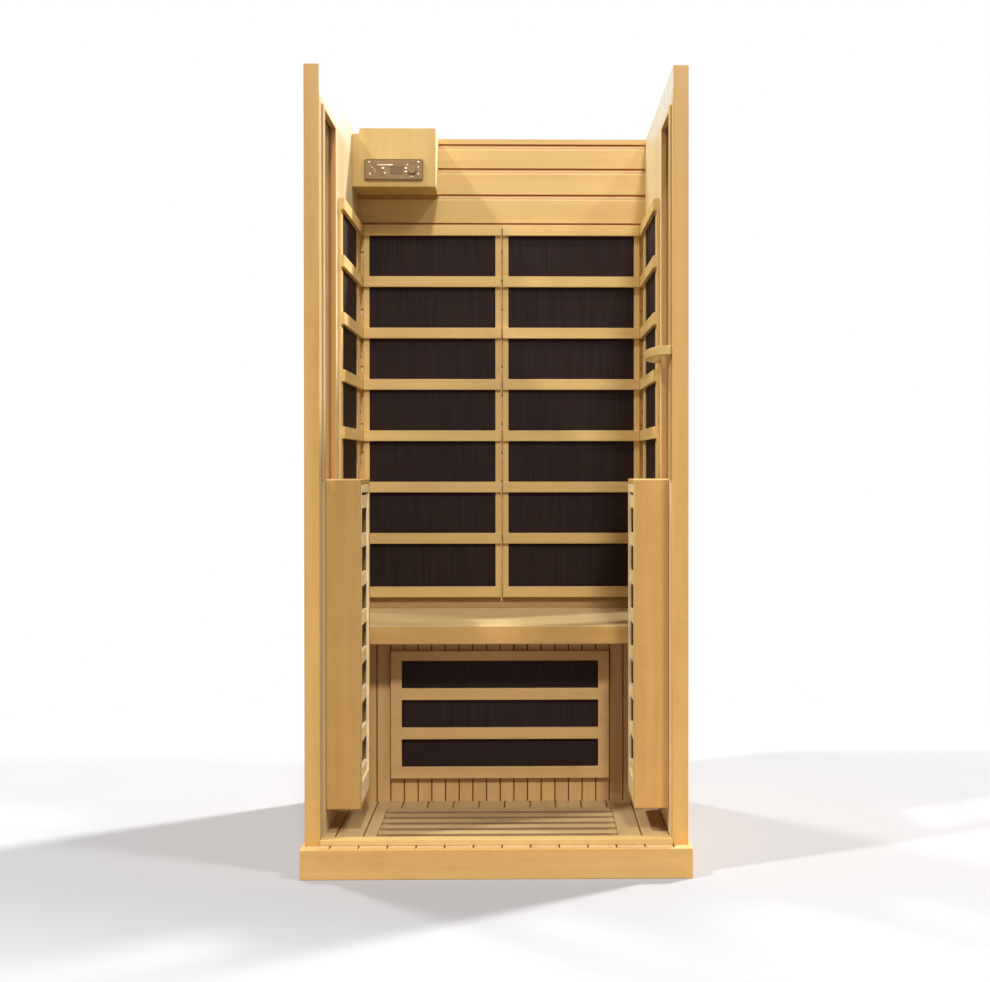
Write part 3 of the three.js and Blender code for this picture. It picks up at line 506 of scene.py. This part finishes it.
# Wall heaters: ladder frames of bars lapped over stiles, two on the back wall and one on each
# side. They hold a dark film panel flat against the lining, and bronzed screws fix the rear
# stiles of the side ones.
BAR_PITCH = 0.145
BAR_START = 0.03
BACK_STILES = 0.4011
SIDE_STILES = 0.3996
SCREW_X = 0.3997
SCREW_Y = 0.3995
SCREW_HEIGHTS = (1.558, 1.405, 1.2535, 1.098, 0.955)
HEAD_DEPTH = 0.003
pale_upright = hemlock("pale_hemlock_upright", "Z", PALE)
bars_across = hemlock(
    "back_heater_bars", "X", PALE, stack="Z", pitch=BAR_PITCH, start=BAR_START
)
bars_deep = hemlock("side_heater_bars", "Y", PALE, stack="Z", pitch=BAR_PITCH, start=BAR_START)
for side in ("left", "right"):
    eased(
        f"back_heater_frame_{side}", "hemlock", bars_across, pale_upright,
        which=lambda middle: int(middle.y > BACK_STILES),
    )
    eased(
        f"side_heater_frame_{side}", "hemlock", bars_deep, pale_upright,
        which=lambda middle: int(abs(middle.x) > SIDE_STILES),
    )
    dress(f"back_heater_panel_{side}", heater_film)
    dress(f"side_heater_panel_{side}", heater_film)
bronze_screw, shader, place = new_finish("bronzed_screw", roughness=0.4, metallic=0.6)
tarnish = place.noise(300.0, 2.0)
place.feed(
    shader.inputs["Base Color"], tarnish.mixed((0.085, 0.035, 0.018), (0.150, 0.068, 0.034))
)
place.feed(shader.inputs["Roughness"], tarnish * 0.3 + 0.3)


def take_faces(wanted):
    """In edit mode, leave only the wanted faces selected."""
    bpy.ops.mesh.select_mode(type="FACE")
    bpy.ops.mesh.select_all(action="DESELECT")
    bpy.ops.object.mode_set(mode="OBJECT")
    for face in bpy.context.object.data.polygons:
        face.select = wanted(face)
    bpy.ops.object.mode_set(mode="EDIT")


def looks_forward(face):
    """Whether a face is flat and looks out of the front."""
    return face.normal.y < -0.99


def made_of(name, finish):
    """Leave edit mode and finish the small model in hand."""
    bpy.ops.object.mode_set(mode="OBJECT")
    bpy.ops.object.shade_smooth_by_angle(angle=math.radians(30))
    model = bpy.context.object
    model.name = name
    model.data.materials.append(finish)
    return model


def pan_head(name, radius, finish):
    """A pan-head screw that looks forward: a turned disc, rounded at its rim, with a sunk drive."""
    rim = radius * 0.28
    bpy.ops.object.select_all(action="DESELECT")
    bpy.ops.mesh.primitive_cylinder_add(
        vertices=20, radius=radius, depth=HEAD_DEPTH, rotation=(math.pi / 2, 0, 0)
    )
    bpy.ops.object.transform_apply(location=True, rotation=True, scale=True)
    bpy.ops.object.mode_set(mode="EDIT")
    take_faces(looks_forward)
    bpy.ops.mesh.bevel(offset=rim, segments=3, affect="EDGES")
    take_faces(looks_forward)
    bpy.ops.mesh.inset(thickness=rim, depth=0)
    bpy.ops.mesh.inset(thickness=radius * 0.04, depth=-0.0006)
    return made_of(name, finish)


def set_out(model, places):
    """Set copies of a small model in their places, and put the model away."""
    for number, (x, y, z, turn) in enumerate(places):
        piece = own_copy(f"{model.name}_{number}", model.data)
        piece.location = (x, y, z)
        piece.rotation_euler = (0, 0, turn)
        bpy.ops.object.transform_apply(location=True, rotation=True, scale=True)
        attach(piece, "cabin")
    bpy.data.objects.remove(model)


stile_screw = pan_head("side_heater_screw", radius=0.0036, finish=bronze_screw)
set_out(stile_screw, [
    (side * SCREW_X, SCREW_Y, height, -side * math.pi / 2)
    for side in (-1, 1)
    for height in SCREW_HEIGHTS
])

# Front heater boxes: four boards glued up as a tall ring on each side wall, beside the entrance.
# A slatted frame closes the inner side, and a dark panel lies against the wall.
# A darker tone for the left box than for the right: painted shade on the left box's front.
LEFT_BOX_SHADED = ((0.432, 0.235, 0.070), (0.483, 0.275, 0.086), (0.521, 0.307, 0.102))
GRILLE_FACE = 0.3316
GRILLE_STILES = (-0.2755, -0.1155)


def on_grille_stile(middle):
    """Whether a face is on the front or rear stile of a grille."""
    front, rear = GRILLE_STILES
    return int(abs(middle.x) < GRILLE_FACE and not front <= middle.y <= rear)


# The grilles' slats and stiles take the paler side-lit tone: painted light.
box_slats = hemlock("box_slats", "Y", SIDE_LIT_PALE, stack="Z", pitch=0.0945, start=0.02)
side_lit_upright = hemlock("side_lit_hemlock_upright", "Z", SIDE_LIT_PALE)
shaded_upright = hemlock("shaded_hemlock_upright", "Z", LEFT_BOX_SHADED)
along_z = hemlock("hemlock_upright", "Z", HONEY)
for side, boards in (("left", shaded_upright), ("right", along_z)):
    eased(f"front_heater_box_{side}", "hemlock", boards, ease=0.0022)
    eased(
        f"front_heater_grille_{side}", "hemlock", box_slats, side_lit_upright, ease=0.0008,
        which=on_grille_stile,
    )
    dress(f"front_heater_panel_{side}", heater_film)

# Control box: a front board with the radio let into it and a case of two boards behind, in the
# upper corner. A sealed power module hangs on the wall inside, and the supply comes in through
# a grommet in the wall.
CONTROL_TONE = ((0.566, 0.364, 0.126), (0.621, 0.417, 0.152), (0.662, 0.458, 0.178))
CASE_SIDE = -0.1802
control_boards = hemlock("control_box_boards", "Z", CONTROL_TONE)
eased("control_box_front", "hemlock", control_boards, ease=0.0012)
# The case's right side takes the paler side-lit tone: painted light.
eased(
    "control_box_case", "hemlock", control_boards, side_lit_upright, ease=0.0012,
    which=lambda middle: int(middle.x > CASE_SIDE),
)
moulded, shader, place = new_finish("moulded_case", roughness=0.5)
stipple = place.noise(1400.0, 2.0)
place.feed(
    shader.inputs["Base Color"], stipple.mixed((0.018, 0.016, 0.015), (0.030, 0.027, 0.025))
)
place.feed(shader.inputs["Roughness"], stipple * 0.2 + 0.42)
bumped(shader, stipple, strength=0.3, distance=0.0003)
eased("power_module", "dark_plastic", moulded, ease=0.003)
eased("cable_inlet", "dark_plastic", moulded, ease=0.0008)

# Radio: a bronzed plate with a dark rim, a display, a dial with a fluted rim, and three keys that
# press. Its steel chassis goes back through the front board; the small fixed keys, slot and screws
# sit in the plate.
PLATE_X = -0.2937
PLATE_Z = 1.756
PLATE_FRONT = 0.2632
PLATE_HALVES = (0.0803, 0.028)
BRONZE_DARK = (0.215, 0.128, 0.050)
BRONZE_LIGHT = (0.320, 0.205, 0.092)
RIM_BRONZE = (0.105, 0.058, 0.024)
RIM_WIDTH = 0.003
RIM_EDGE = 0.001
KNOB_X = PLATE_X + 0.0505
KNOB_Z = PLATE_Z - 0.0022
KNOB_HALVES = (0.0135, 0.0135)
KNOB_RIM = 0.0094
FLUTE_AREA = 4e-6
KEY_DEPTH = 0.0024
# Each fixed key's width, its height, and its places from the middle of the plate.
KEYS = (
    (0.0440, 0.0030, ((-0.0237, 0.0120),)),
    (0.0050, 0.0055, ((-0.0236, -0.0100),)),
    (0.0110, 0.0034, ((0.0490, -0.0190),)),
    (0.0030, 0.0055, ((0.0668, 0.0060),)),
    (0.0060, 0.0025, ((0.0374, 0.0125),)),
    (
        0.0026, 0.0026,
        ((-0.0640, 0.0100), (-0.0590, 0.0050), (-0.0530, 0.0000), (-0.0510, -0.0060)),
    ),
)
FACE_SCREWS = ((-0.0668, 0.0197), (0.0678, 0.0197), (-0.0648, -0.0125), (0.0662, -0.0125))
sheet_steel, shader, place = new_finish("sheet_steel", roughness=0.35, metallic=1.0)
spangle = place.node("ShaderNodeTexVoronoi", {}, {"Vector": place, "Scale": 90.0}, "Color")
glint = spangle.axis("X")
place.feed(shader.inputs["Base Color"], glint.mixed((0.42, 0.41, 0.38), (0.60, 0.58, 0.54)))
place.feed(shader.inputs["Roughness"], glint * 0.2 + 0.28)
dress("radio_chassis", sheet_steel)


def bronzed(name, seat_x, seat_z, halves):
    """Bronzed metal, brushed lengthways, and darker towards a rim of given half sizes."""
    finish, shader, place = new_finish(name, roughness=0.4, metallic=0.35)
    across = place.axis("X") - seat_x
    up = place.axis("Z") - seat_z
    brushing = place.stretched((0.03, 1, 1)).noise(1500.0, 2.0)
    worn = brushing * 0.6 + place.noise(60.0, 3.0) * 0.4
    colour = worn.ramp((0.35, BRONZE_DARK), (0.68, BRONZE_LIGHT))
    reach, height = (
        abs(off).rise(half - RIM_WIDTH, half - RIM_EDGE)
        for off, half in zip((across, up), halves)
    )
    edge = reach.math("MAXIMUM", reach, height)
    place.feed(shader.inputs["Base Color"], edge.mixed(colour, RIM_BRONZE))
    place.feed(shader.inputs["Roughness"], brushing * 0.25 + 0.30)
    bumped(shader, brushing, strength=0.08, distance=0.0003)
    return finish


plate_bronze = bronzed("bronzed_plate", PLATE_X, PLATE_Z, PLATE_HALVES)
eased("radio_faceplate", "radio_bronze", plate_bronze, ease=0.0006)
display, shader, place = new_finish("display_window", roughness=0.12)
cells = place.noise(900.0, 1.0)
place.feed(
    shader.inputs["Base Color"], cells.mixed((0.160, 0.092, 0.042), (0.205, 0.122, 0.058))
)
eased("radio_display", "display_plastic", display, ease=0.0003)
bright, shader, place = new_finish("bright_key", roughness=0.3, metallic=0.6)
sheen = place.noise(700.0, 2.0)
place.feed(shader.inputs["Base Color"], sheen.mixed((0.72, 0.62, 0.45), (0.90, 0.82, 0.66)))
place.feed(shader.inputs["Roughness"], sheen * 0.2 + 0.2)
for key in ("power", "up", "down"):
    eased(
        f"radio_button_{key}", "button_aluminium", bright, ease=0.0005, body=f"{key}_button"
    )


def rim_flat(face):
    """Whether a face is one of the broad flats round the dial."""
    off_centre = math.hypot(face.center.x - KNOB_X, face.center.z - KNOB_Z)
    return abs(face.normal.y) < 0.01 and off_centre > KNOB_RIM and face.area > FLUTE_AREA


dial = bronzed("fluted_dial", KNOB_X, KNOB_Z, KNOB_HALVES)
eased("radio_volume_knob", "radio_bronze", dial, ease=0.0006, body="volume_knob")
bpy.ops.object.mode_set(mode="EDIT")
take_faces(rim_flat)
bpy.ops.mesh.inset(thickness=0.0003, depth=-0.0005, use_individual=True)
bpy.ops.object.mode_set(mode="OBJECT")
bpy.ops.object.shade_smooth_by_angle(angle=math.radians(20))


def small_key(name, width, height):
    """A small fixed key: a block with rounded edges and a dished face."""
    bpy.ops.object.select_all(action="DESELECT")
    bpy.ops.mesh.primitive_cube_add(size=1, scale=(width, KEY_DEPTH, height))
    bpy.ops.object.transform_apply(location=True, rotation=True, scale=True)
    bpy.ops.object.mode_set(mode="EDIT")
    bpy.ops.mesh.select_all(action="SELECT")
    bpy.ops.mesh.bevel(offset=0.0004, segments=2, affect="EDGES")
    take_faces(looks_forward)
    bpy.ops.mesh.inset(thickness=0.0003, depth=-0.0002)
    return made_of(name, bright)


def on_plate(seats):
    """Places on the face of the plate, from its middle."""
    return [(PLATE_X + x, PLATE_FRONT, PLATE_Z + z, 0) for x, z in seats]


for number, (width, height, seats) in enumerate(KEYS):
    key = small_key(f"radio_key_{number}", width, height)
    set_out(key, on_plate(seats))
face_screw = pan_head("radio_screw", radius=0.0033, finish=bright)
set_out(face_screw, on_plate(FACE_SCREWS))

# Bow handle: sawn from one piece of hemlock as a flat arc, with its edges sanded off.
# Two screws from outside hold it to the right wall, within reach of the bench.
eased(
    "grab_handle", "hemlock", hemlock("bow_handle", "Y", SILL_TONE, roughness=0.38), ease=0.0012
)
